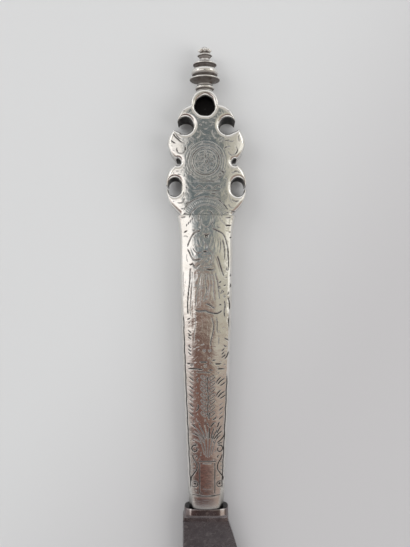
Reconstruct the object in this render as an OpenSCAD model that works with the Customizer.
// Wedding knife: a pierced and domed silver handle with a turned finial, on a forged iron
// bolster and tang, with a single-edged steel blade. It lies on its back: +Y runs from the
// blade to the finial, +X from the back of the blade to its edge, and +Z out of the front.

/* [Handle body] */
// Length of the silver body, from its foot on the bolster to its rim under the head
body_len = 61; // [54:0.5:70]
// Width of the body at its foot
foot_w = 7.2; // [6.4:0.1:8.6]
// Width that the lower third of the side curve pulls towards
low_pull_w = 9.2; // [8.6:0.1:9.8]
// Width that the upper third of the side curve pulls towards
high_pull_w = 11.2; // [10.6:0.1:12]
// Width of the body just under its flared rim
shoulder_w = 11.1; // [10.6:0.1:11.8]
// Extra width of the flared rim
rim_flare = 1.4; // [0.4:0.1:2.2]
// Length over which the rim flares out
rim_flare_len = 5; // [3:0.5:8]
// Thickness of the body at its foot
foot_t = 5.5; // [5.2:0.1:6.2]
// Thickness of the body at its rim
rim_t = 7; // [6.6:0.1:7.3]
// Squareness of the body's section at its foot, where 2 is an ellipse
foot_power = 2.2; // [2:0.1:3]
// Squareness of the body's section at its rim
rim_power = 4.2; // [3:0.2:6]
// Thickness of the silver sheet
wall = 0.9; // [0.6:0.1:1.1]

/* [Pierced head] */
// Height of the pierced head, from the rim of the body to the top of its eye
head_h = 26; // [24:0.25:29]
// Thickness of the head across its flat middle
head_t = 7.4; // [7.3:0.1:8]
// Width of the flat land down the middle of the head
head_flat_w = 8; // [6:0.5:9]
// How far the flanks of the head fall away at each face
flank_drop = 1.2; // [0.6:0.1:1.6]
// Width of the head where it meets the rim of the body
neck_w = 10.8; // [10.2:0.1:11.2]
// Width across the two leaf lobes
leaf_w = 16.2; // [15.4:0.1:17]
// Width across the two lower scrolls
scroll_w = 16.66; // [16.2:0.02:17.4]
// How far the eye and the finial stand off the handle's middle line, on the blade's back side
lean = 0.32; // [0:0.02:0.5]
// Radius of the ring round the eye
eye_ring_r = 2.85; // [2.7:0.05:3]
// Radius of the eye, a blind well in the front and in the back
eye_r = 2.12; // [1.7:0.02:2.2]
// How far the eye sits below the middle of its ring
eye_drop = 0.55; // [0.3:0.05:0.8]
// Thickness of the web left between the two wells
eye_web = 1; // [0.6:0.1:2]
// Width of the chamfer at the mouth of each well
eye_chamfer = 0.25; // [0.1:0.05:0.4]
// Radius of the two upper bays
bay_r = 1.78; // [1.5:0.02:1.8]
// Distance of the middle of each upper bay from the head's middle line
bay_x = 4.38; // [4.2:0.02:4.6]
// Drop from the middle of the eye ring to the middle of the upper bays
bay_drop = 4.66; // [4.4:0.02:4.9]
// Drop from the middle of the eye ring to the widest point of the leaf lobes
leaf_drop = 8.3; // [7.9:0.1:8.7]
// Width across the horns where the leaf lobes spring from the upper bays
horn_w = 13.48; // [13.2:0.02:13.8]
// Drop from the middle of the eye ring to those horns
horn_drop = 5.35; // [5.2:0.05:5.5]
// Drop from the middle of the eye ring to the notches of the waist
waist_drop = 12.2; // [11.9:0.1:12.5]
// Distance of the middle of each waist notch from the head's middle line
waist_notch_x = 5.9; // [5.7:0.05:6.1]
// Radius of the notch on each side of the waist
waist_notch_r = 0.72; // [0.5:0.02:0.8]
// Radius of the round ends of the two lower piercings
piercing_r = 1.42; // [1.2:0.02:1.46]
// Straight height between those round ends
piercing_straight = 1; // [0.6:0.05:1.3]
// Distance of the middle of each lower piercing from the head's middle line
piercing_x = 6.55; // [6.3:0.05:6.7]
// Drop from the middle of the eye ring to the middle of the lower piercings
piercing_drop = 17.3; // [17:0.1:17.6]
// Width of the slit through which each lower piercing opens to the outside
slit_w = 0.75; // [0.4:0.05:1.1]
// Width across the lower scrolls where they turn in toward the neck
scroll_foot_w = 14.6; // [14.2:0.1:15]
// Drop from the middle of the eye ring to that turn
scroll_foot_drop = 21; // [20.8:0.05:21.2]
// Length of the tenon that plugs the body
tenon_len = 4; // [3:0.5:6]

/* [Finial] */
// Height of the foot ring's middle above the head
foot_ring_h = 1.05; // [0.9:0.05:1.2]
// Radius of the foot ring
foot_ring_r = 2.03; // [1.8:0.01:2.3]
// Height of the wide dish's rim above the head
dish_h = 2.83; // [2.6:0.01:3.1]
// Radius of the wide dish
dish_r = 3.22; // [2.9:0.02:3.4]
// Height of the middle of the ring that sits on the dish
collar_h = 4.3; // [4.15:0.05:4.45]
// Radius of that ring
collar_r = 2.83; // [2.6:0.01:3]
// Thickness of that ring
collar_t = 1.8; // [1.5:0.1:1.9]
// Height of the middle disc's rim above the head
disc_h = 6; // [5.7:0.05:6.2]
// Radius of the middle disc
disc_r = 2.52; // [2.1:0.02:2.7]
// Height of the top disc's rim above the head
top_disc_h = 7.9; // [7.6:0.05:8.1]
// Radius of the top disc
top_disc_r = 1.56; // [1.4:0.02:1.8]
// Height of the middle of the beads above the head
crown_h = 9; // [8.8:0.05:9.4]
// Number of beads round the crown
beads = 8; // [6:1:9]
// Radius of one bead
bead_r = 0.36; // [0.3:0.02:0.38]
// Radius of the peg under the finial
peg_r = 0.8; // [0.6:0.05:1]

/* [Bolster and tang] */
// Width of the bolster where the handle sits on it
bolster_w = 9.24; // [9:0.02:9.8]
// Thickness of the bolster where the handle sits on it
bolster_t = 5.6; // [5.5:0.1:6.2]
// Length of the bolster, down to the weld with the blade
bolster_len = 3; // [2.6:0.1:4]
// Width of the tang where it leaves the bolster
tang_w = 3.2; // [2.4:0.1:3.6]
// Thickness of the tang where it leaves the bolster
tang_t = 2.6; // [2:0.1:2.8]
// Length of the tang
tang_len = 46; // [30:1:50]
// Share of its root size that the tang keeps at its tip
tang_taper = 0.5; // [0.4:0.05:0.8]

/* [Blade] */
// Length of the blade, from the weld to the point
blade_len = 100; // [85:1:120]
// Widest measure of the blade, from its back to its edge
blade_w = 16; // [13:0.5:18]
// Distance of the point in from the line of the back
point_in = 0.8; // [0.4:0.1:2]
// Thickness of the back at the bolster
spine_t = 2.9; // [2.4:0.1:3.2]
// Thickness of the back near the point
spine_point_t = 0.9; // [0.7:0.1:1.4]
// Thickness of the blunt heel at the bolster
heel_t = 1.8; // [1.2:0.1:2.2]
// Thickness of the cutting edge
edge_t = 0.3; // [0.2:0.05:0.4]
// Width of the honed bevel along the edge
bevel_w = 1.6; // [1:0.1:2.2]
// Chamfer along the two corners of the back
spine_chamfer = 0.25; // [0.15:0.05:0.4]

/* [Hidden] */
$fn = 64;

silver = [0.80, 0.79, 0.76];
iron = [0.36, 0.34, 0.34];
steel = [0.31, 0.30, 0.31];
pitch = [0.10, 0.09, 0.08];

fit = 0.05;              // gap between pieces that are soldered or bedded together
mid_z = head_t / 2;      // height of the knife's middle plane above the table
rest_y = body_len + head_h / 2;  // the head's middle, which lies on the table under the origin

// A point part of the way along a cubic curve of four control values
function bezier(c, t) =
    pow(1 - t, 3) * c[0] + 3 * pow(1 - t, 2) * t * c[1] + 3 * (1 - t) * t * t * c[2] + pow(t, 3) * c[3];
function smooth(t) = let (u = min(1, max(0, t))) u * u * (3 - 2 * u);

// Joins rings of equal length, each a list of points in its own XZ plane, into one solid
module loft(rings) {
    count = len(rings[0]);
    last = len(rings) - 1;
    points = [for (ring = rings) each ring];
    sides = [for (i = [0:last - 1], j = [0:count - 1])
        let (a = i * count + j, b = i * count + (j + 1) % count)
        each [[a, b, b + count], [a, b + count, a + count]]];
    foot = [[for (j = [count - 1:-1:0]) j]];
    top = [[for (j = [0:count - 1]) last * count + j]];
    polyhedron(points, concat(sides, foot, top), convexity = 6);
}

// Turns an XZ section at height y into a ring
function ring_at(section, y) = [for (p = section) [p[0], y, mid_z + p[1]]];

// Handle body

function body_half_w(y) =
    bezier([foot_w, low_pull_w, high_pull_w, shoulder_w], y / body_len) / 2
    + rim_flare / 2 * pow(max(0, 1 - (body_len - y) / rim_flare_len), 2);
function body_half_t(y) = (foot_t + (rim_t - foot_t) * y / body_len) / 2;
function body_power(y) = foot_power + (rim_power - foot_power) * smooth(y / body_len);

stations = 16;           // rings along the body
half_steps = 26;         // facets round half of its section
function station_y(i, low, high) = low + (high - low) * i / stations;

// One point of the body's section at height y, inset from the outer surface; angle 0 is +X
function body_point(y, angle, inset) = [
    (body_half_w(y) - inset) * sign(cos(angle)) * pow(abs(cos(angle)), 2 / body_power(y)),
    (body_half_t(y) - inset) * sign(sin(angle)) * pow(abs(sin(angle)), 2 / body_power(y))];

// Half of the sheet-silver body: each ring runs from +X over the front to -X and back inside
module half_shell() {
    count = 2 * half_steps + 2;
    points = [for (i = [0:stations], k = [0:count - 1]) let (
        y = station_y(i, 0, body_len),
        outside = k <= half_steps,
        step = outside ? k : count - 1 - k,
        p = body_point(y, 180 * step / half_steps, outside ? 0 : wall))
        [p[0], y, mid_z + (step % half_steps == 0 ? 0 : p[1])]];
    sides = [for (i = [0:stations - 1], k = [0:count - 1])
        let (a = i * count + k, b = i * count + (k + 1) % count)
        each [[a, b, b + count], [a, b + count, a + count]]];
    top = stations * count;
    ends = [for (k = [0:half_steps - 1]) let (in = count - 1 - k)
        each [[k, in, in - 1], [k, in - 1, k + 1],
              [top + k, top + in - 1, top + in], [top + k, top + k + 1, top + in - 1]]];
    polyhedron(points, concat(sides, ends), convexity = 6);
}

module handle_front_shell() {
    color(silver) half_shell();
}

module handle_back_shell() {
    color(silver) mirror_thickness() half_shell();
}

module mirror_thickness() {
    translate([0, 0, 2 * mid_z]) mirror([0, 0, 1]) children();
}

// The pitch that fills the body and beds the tang
module handle_filler() {
    color(pitch) difference() {
        loft([for (i = [0:stations]) let (y = station_y(i, fit, body_len - tenon_len - fit)) ring_at(
            [for (k = [0:2 * half_steps - 1]) body_point(y, 180 * k / half_steps, wall + fit)], y)]);
        tang(fit);
    }
}

// Pierced head

ring_y = head_h - eye_ring_r;
eye_y = ring_y - eye_drop;
bay = [bay_x, ring_y - bay_drop];
bay_open = 35;           // the bay's wall starts and ends at these angles
bay_close = -52;
piercing_y = ring_y - piercing_drop;
piercing_in = piercing_x - piercing_r;
piercing_out = piercing_x + piercing_r;
piercing_top = piercing_y + piercing_straight / 2;
piercing_foot = piercing_y - piercing_straight / 2;
slit_top = piercing_y + 0.3;
slit_foot = slit_top - slit_w;
notch = [waist_notch_x, ring_y - waist_drop];
notch_open = 62;         // the notch's wall starts and ends at these angles
notch_close = -50;

function on_arc(centre, r, angle) = centre + r * [cos(angle), sin(angle)];
function sweep_bulge(degrees) = tan(degrees / 4);

// Half of the head's outline from the eye ring down the +X side. Each row is a corner and the
// bulge of the arc that leaves it: the tangent of a quarter of the arc's sweep, positive where
// the arc turns clockwise
half_outline = [
    [[0, ring_y], 0],
    [[eye_ring_r - 0.6, ring_y - 0.3], 0.4],
    [on_arc(bay, bay_r, bay_open) + [0.14, -0.06], 0],
    [on_arc(bay, bay_r, bay_open), -sweep_bulge(360 - bay_open + bay_close)],
    [on_arc(bay, bay_r, bay_close), -0.1],
    [[horn_w / 2, ring_y - horn_drop], 0.17],
    [[leaf_w / 2, ring_y - leaf_drop], 0.17],
    [on_arc(notch, waist_notch_r, notch_open), -sweep_bulge(360 - notch_open + notch_close)],
    [on_arc(notch, waist_notch_r, notch_close), 0.3],
    [[scroll_w / 2, piercing_y + 1.2], 0.03],
    [[scroll_w / 2 - 0.03, slit_top], 0],
    [[piercing_out, slit_top], 0],
    [[piercing_out, piercing_top], -1],
    [[piercing_in, piercing_top], 0],
    [[piercing_in, piercing_foot], -1],
    [[piercing_out, piercing_foot], 0],
    [[piercing_out, slit_foot], 0],
    [[scroll_w / 2 - 0.05, slit_foot], 0.187],
    [[scroll_foot_w / 2, ring_y - scroll_foot_drop], 0.03],
    [[neck_w / 2 + 0.15, 0.35], -0.2],
    [[neck_w / 2, 0], 0],
];

arc_step = 12;           // degrees of arc to each facet of the outline

// The points of the arc from a to b, without b
function arc_points(a, b, bulge) = bulge == 0 ? [a] : let (
    chord = b - a,
    middle = (a + b) / 2,
    right = [chord[1], -chord[0]],
    centre = middle + right * (1 - bulge * bulge) / (4 * bulge),
    sweep = 4 * atan(bulge),
    steps = max(2, ceil(abs(sweep) / arc_step)),
    arm = a - centre)
    [for (k = [0:steps - 1]) let (turn = -sweep * k / steps)
        centre + [arm[0] * cos(turn) - arm[1] * sin(turn), arm[0] * sin(turn) + arm[1] * cos(turn)]];

half_points = [for (i = [0:len(half_outline) - 2])
    each arc_points(half_outline[i][0], half_outline[i + 1][0], half_outline[i][1])];

module head_outline() {
    right = concat(half_points, [half_outline[len(half_outline) - 1][0]]);
    left = [for (i = [len(right) - 1:-1:1]) [-right[i][0], right[i][1]]];
    polygon(concat(right, left));
    translate([-lean, ring_y]) circle(eye_ring_r);
}

// Cross-section of the head from above the foot: a flat middle with flanks that fall away
module head_section() {
    half_flat = head_flat_w / 2;
    half_w = max(leaf_w, scroll_w) / 2 + 0.67;
    run = half_w - half_flat;
    flank_r = (run * run + flank_drop * flank_drop) / (2 * flank_drop);
    steps = 8;
    flank = asin(run / flank_r);
    curve = [for (k = [0:steps]) let (a = flank * k / steps)
        [half_flat + flank_r * sin(a), head_t / 2 - flank_r * (1 - cos(a))]];
    right_up = [for (k = [steps:-1:0]) curve[k]];
    left_up = [for (p = curve) [-p[0], p[1]]];
    upper = concat(right_up, left_up);
    lower = [for (i = [len(upper) - 1:-1:0]) [upper[i][0], -upper[i][1]]];
    polygon(concat(upper, lower));
}

// A short cylinder along Z that opens the eye from one face, with its chamfered mouth
module eye_well() {
    depth = (head_t - eye_web) / 2;
    translate([-lean, eye_y, head_t - depth]) cylinder(r = eye_r, h = depth + 1);
    translate([-lean, eye_y, head_t - eye_chamfer])
        cylinder(r1 = eye_r, r2 = eye_r + 2 * eye_chamfer, h = 2 * eye_chamfer);
}

// A flat-sided plug with round ends, which the two half shells close round
module tenon() {
    half_w = body_half_w(body_len - tenon_len) - wall - 2 * fit;
    half_t = (body_half_t(body_len - tenon_len) - wall) * 0.9;
    translate([0, fit, mid_z]) rotate([90, 0, 0]) linear_extrude(tenon_len + fit) {
        square([2 * (half_w - half_t), 2 * half_t], center = true);
        for (side = [-1, 1]) translate([side * (half_w - half_t), 0]) circle(half_t);
    }
}

module pierced_head() {
    color(silver) translate([0, body_len + fit, 0]) difference() {
        union() {
            intersection() {
                linear_extrude(head_t) head_outline();
                translate([0, head_h, mid_z]) rotate([90, 0, 0])
                    linear_extrude(head_h) head_section();
            }
            tenon();
        }
        eye_well();
        mirror_thickness() eye_well();
        translate([-lean, head_h - peg_len, mid_z]) rotate([-90, 0, 0])
            cylinder(r = peg_r + fit, h = peg_len + 1);
    }
}

// Finial

crown_r = 0.98;          // radius of the circle that the beads stand on
tip_h = crown_h + 0.72;
peg_len = eye_ring_r + eye_drop - eye_r - 0.3;

// Half of the section of a disc with a rounded rim, a thick
module rim(h, r, a) {
    translate([r - a / 2, h]) circle(a / 2, $fn = 32);
    translate([0, h - a / 2]) square([r - a / 2, a]);
}

// Half of the section of a stem that runs from one height and radius to the next
module stem(h0, r0, h1, r1) {
    polygon([[0, h0], [r0, h0], [r1, h1], [0, h1]]);
}

// The thickness of each disc, then the stems that carry them
module finial_section() {
    rim(foot_ring_h, foot_ring_r, 0.9);
    rim(dish_h, dish_r, 0.42);
    rim(collar_h, collar_r, collar_t);
    rim(disc_h, disc_r, 0.36);
    rim(top_disc_h, top_disc_r, 0.32);
    stem(0, 1.7, foot_ring_h, 1.5);
    stem(foot_ring_h, 1.6, (foot_ring_h + dish_h) / 2, 1.5);
    stem((foot_ring_h + dish_h) / 2 - 0.05, 1.5, dish_h, dish_r - 0.35);
    stem(dish_h, dish_r - 0.4, collar_h - 0.8, collar_r - 0.55);
    stem(collar_h + 0.2, collar_r - 0.25, (collar_h + disc_h) / 2, 1.65);
    stem((collar_h + disc_h) / 2 - 0.05, 1.65, disc_h, disc_r - 0.25);
    stem(disc_h, disc_r - 0.5, disc_h + 0.55, 1.15);
    stem(disc_h + 0.5, 1.15, (disc_h + top_disc_h) / 2 + 0.2, 1);
    stem((disc_h + top_disc_h) / 2 + 0.15, 1, top_disc_h, top_disc_r - 0.2);
    stem(top_disc_h, top_disc_r - 0.3, crown_h - bead_r, 0.8);
    stem(crown_h - bead_r - 0.02, 0.8, tip_h - 0.3, 0.75);
    stem(tip_h - 0.3, 0.75, tip_h, 0.4);
}

module finial() {
    color(silver) translate([-lean, body_len + head_h + 2 * fit, mid_z]) rotate([-90, 0, 0]) {
        rotate_extrude() finial_section();
        for (k = [0:beads - 1]) rotate([0, 0, 360 * k / beads])
            translate([crown_r, 0, crown_h]) sphere(bead_r, $fn = 32);
        translate([0, 0, -peg_len]) cylinder(r = peg_r, h = peg_len + 0.5);
    }
}

// Bolster and tang

back_x = -4.92;          // line of the blade's back
heel_x = 4.65;           // where the edge side leaves the bolster
round_steps = 40;        // points round the bolster's section

// Superellipse from x0 to x1 that is t thick; a higher power is squarer
function pad_section(x0, x1, t, power) = [for (k = [0:round_steps - 1])
    let (a = 360 * k / round_steps, c = cos(a), s = sin(a))
    [(x0 + x1) / 2 + (x1 - x0) / 2 * sign(c) * pow(abs(c), 2 / power),
     t / 2 * sign(s) * pow(abs(s), 2 / power)]];

function bolster_ring(share, x0, x1, t, power) =
    ring_at(pad_section(x0, x1, t, power), -fit - bolster_len * share);

// The tang is where two crossed wedges meet: a four-sided taper, grown all round by the gap
module tang(gap) {
    intersection() {
        translate([0, 0, mid_z - bolster_t / 2])
            linear_extrude(bolster_t) wedge(tang_w + 2 * gap, gap);
        translate([-bolster_w / 2, 0, mid_z]) rotate([90, 0, 90])
            linear_extrude(bolster_w) rotate([0, 0, -90]) wedge(tang_t + 2 * gap, gap);
    }
}

// One wedge, which runs up from just inside the bolster
module wedge(size, gap) {
    far = tang_len + gap;
    tip = size * tang_taper;
    polygon([[-size / 2, -0.4], [size / 2, -0.4], [tip / 2, far], [-tip / 2, far]]);
}

module bolster_and_tang() {
    half_w = bolster_w / 2;
    color(iron) {
        loft([
            bolster_ring(1, back_x, heel_x, spine_t, 6),
            bolster_ring(0.75, back_x, heel_x, spine_t + 0.1, 5.5),
            bolster_ring(0.62, back_x, heel_x, spine_t + 0.8, 4.5),
            bolster_ring(0.54, back_x, heel_x, bolster_t - 0.6, 3.8),
            bolster_ring(0.49, -half_w - 0.12, half_w, bolster_t - 0.18, 3.5),
            bolster_ring(0.45, -half_w - 0.1, half_w, bolster_t - 0.04, 3.4),
            bolster_ring(0.08, -half_w, half_w, bolster_t, 3),
            bolster_ring(0, -half_w + 0.15, half_w - 0.15, bolster_t - 0.25, 3),
        ]);
        tang(0);
    }
}

// Blade

blade_steps = 12;        // sections in each of the blade's two curves
edge_x = back_x + blade_w;
flare = 0.607;           // share of that widening which the heel's curve leans out at once
belly = 0.4;             // share of the blade's length at which it is widest

// The edge runs from the heel out to the belly, and from the belly round to the point
flare_x = [heel_x, heel_x + flare * (edge_x - heel_x), edge_x, edge_x];
flare_y = [0, 0.11, 0.25, belly];
tip_x = [edge_x, edge_x, back_x + 0.62 * blade_w, back_x + point_in];
tip_y = [belly, 0.7, 0.9, 1];

function back_at(share) = back_x + point_in * smooth((share - 0.8) / 0.2);
function spine_at(share) = spine_t + (spine_point_t - spine_t) * pow(share, 0.8);
function edge_at(share) = edge_t + (heel_t - edge_t) * (1 - smooth(share / 0.09));

// The blade's section where its edge lies at x1: thick back, flat sides and a honed bevel
function blade_section(share, x1) = let (
    x0 = back_at(share),
    width = x1 - x0,
    spine = spine_at(share),
    bevel = min(bevel_w, width * 0.3),
    corner = min(spine_chamfer, width * 0.2),
    thin = edge_at(share),
    shoulder = max(thin, thin + (spine - thin) * 0.22),
    half = [[x0, spine / 2 - corner], [x0 + corner, spine / 2], [x1 - bevel, shoulder / 2], [x1, thin / 2]])
    [for (i = [3:-1:0]) half[i], for (i = [0:3]) [half[i][0], -half[i][1]]];

function blade_ring(share, x1) =
    ring_at(blade_section(share, x1), -bolster_len - 2 * fit - blade_len * share);

module blade() {
    tip_share = 0.997;   // the last section lies just before the point
    color(steel) loft([
        for (k = [blade_steps:-1:1]) let (t = k / blade_steps * (k == blade_steps ? tip_share : 1))
            blade_ring(bezier(tip_y, t), bezier(tip_x, t)),
        for (k = [blade_steps:-1:0]) let (t = k / blade_steps)
            blade_ring(bezier(flare_y, t), bezier(flare_x, t)),
    ]);
}

module placed() {
    translate([0, -rest_y, 0]) children();
}

placed() finial();
placed() pierced_head();
placed() handle_front_shell();
placed() handle_back_shell();
placed() handle_filler();
placed() bolster_and_tang();
placed() blade();
